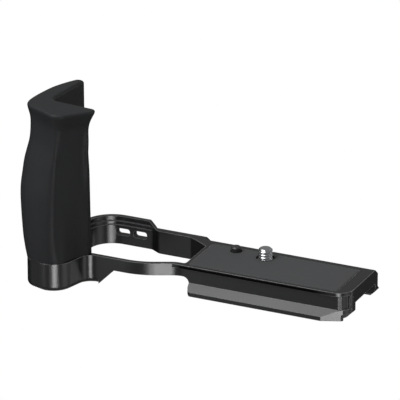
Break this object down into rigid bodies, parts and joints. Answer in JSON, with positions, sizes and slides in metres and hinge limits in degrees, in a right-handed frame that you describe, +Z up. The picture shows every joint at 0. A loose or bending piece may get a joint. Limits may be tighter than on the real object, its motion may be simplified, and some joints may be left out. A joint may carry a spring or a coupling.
{
  "type": "l-shaped camera mount plate",
  "caption": "L-shaped mounting plate with a dovetail underside, a captive camera screw, a locating pin, an open battery window and an upright silicone hand grip.",
  "frame": {"origin": "axis of the camera screw, in the plane of the plate's top face", "axes": "+X along the plate away from the grip, +Y towards the back of the camera, +Z up along the camera screw"},
  "size_m": [0.1463, 0.063, 0.0837],
  "materials": {
    "black_anodised": "satin black anodised",
    "black_silicone": "matte moulded silicone",
    "core_plastic": "moulded, hidden",
    "black_steel": "black oxide",
    "brass": "turned",
    "bright_steel": "bright, polished",
    "spring_steel": "phosphated",
    "pad_rubber": "fine matte",
    "tool_steel": "black oxide",
    "magnet_nickel": "nickel plated"
  },
  "bodies": {
    "plate": {"base_frame": "black_anodised", "silicone_grip": "black_silicone", "grip_core": "core_plastic", "grip_screw_left": "black_steel", "grip_screw_right": "black_steel", "core_insert_left": "brass", "core_insert_right": "brass", "rubber_pad": "pad_rubber", "locating_pin": "black_steel", "key_magnet_1": "magnet_nickel", "key_magnet_2": "magnet_nickel"},
    "clip": {"screw_clip": "spring_steel"},
    "screw": {"camera_screw": "bright_steel"},
    "key": {"hex_key": "tool_steel"}
  },
  "joints": [
    {"name": "screw_float", "type": "slide", "parent": "plate", "child": "clip", "axis": [0, 0, -1], "range_m": [0, 0.0025]},
    {"name": "screw_turn", "type": "hinge", "parent": "clip", "child": "screw", "pos_m": [0, 0, 0], "axis": [0, 0, 1], "continuous": true},
    {"name": "key_lift", "type": "slide", "parent": "plate", "child": "key", "axis": [0, 0, -1], "range_m": [0, 0.02]}
  ]
}
